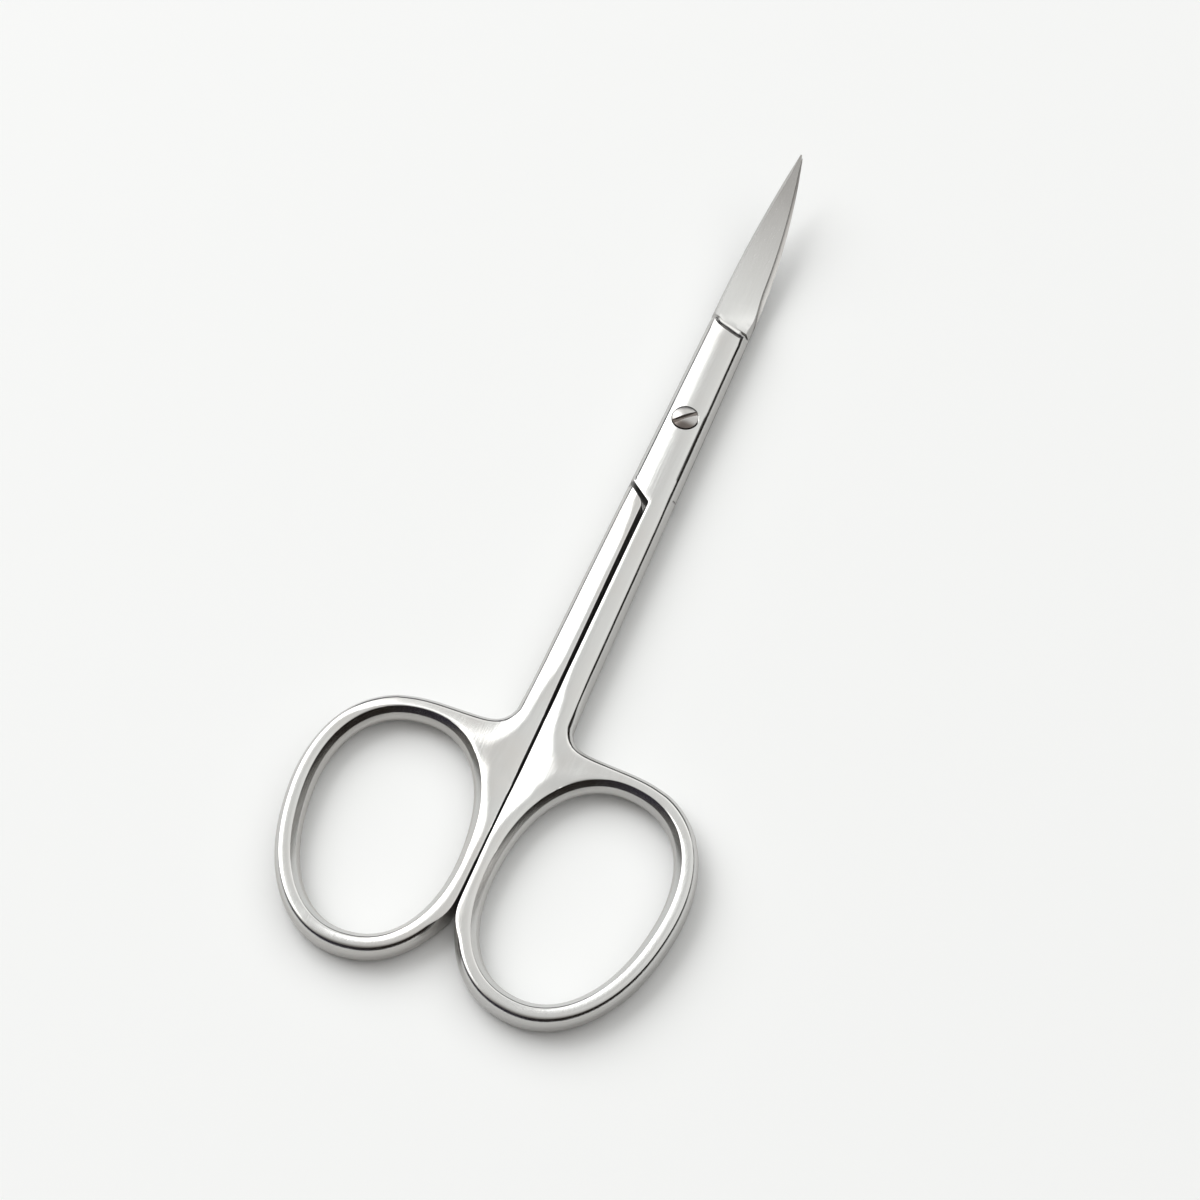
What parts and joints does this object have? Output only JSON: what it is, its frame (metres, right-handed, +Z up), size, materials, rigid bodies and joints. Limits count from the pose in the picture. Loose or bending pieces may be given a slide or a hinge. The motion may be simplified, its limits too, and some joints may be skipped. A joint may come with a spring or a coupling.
{
  "type": "cuticle scissors",
  "caption": "Slim steel cuticle scissors with upward curved pointed blades, a slotted pivot screw and oval finger bows.",
  "frame": {"origin": "on the pivot axis, in the plane on which the closed scissors lie", "axes": "+X along the length towards the blade tips, +Z up along the pivot axis, away from the table and towards the side with the screw head, +Y towards the bow of the lower half"},
  "size_m": [0.1018, 0.041, 0.007],
  "materials": {
    "upper_steel": "satin polished stainless steel",
    "lower_steel": "satin polished stainless steel",
    "screw_steel": "turned steel, slightly darker"
  },
  "bodies": {
    "lower": {"lower_half": "lower_steel", "pivot_screw": "screw_steel"},
    "upper": {"upper_half": "upper_steel"}
  },
  "joints": [
    {"name": "pivot", "type": "hinge", "parent": "lower", "child": "upper", "pos_m": [0, 0, 0], "axis": [0, 0, 1], "range_deg": [0, 120]}
  ]
}
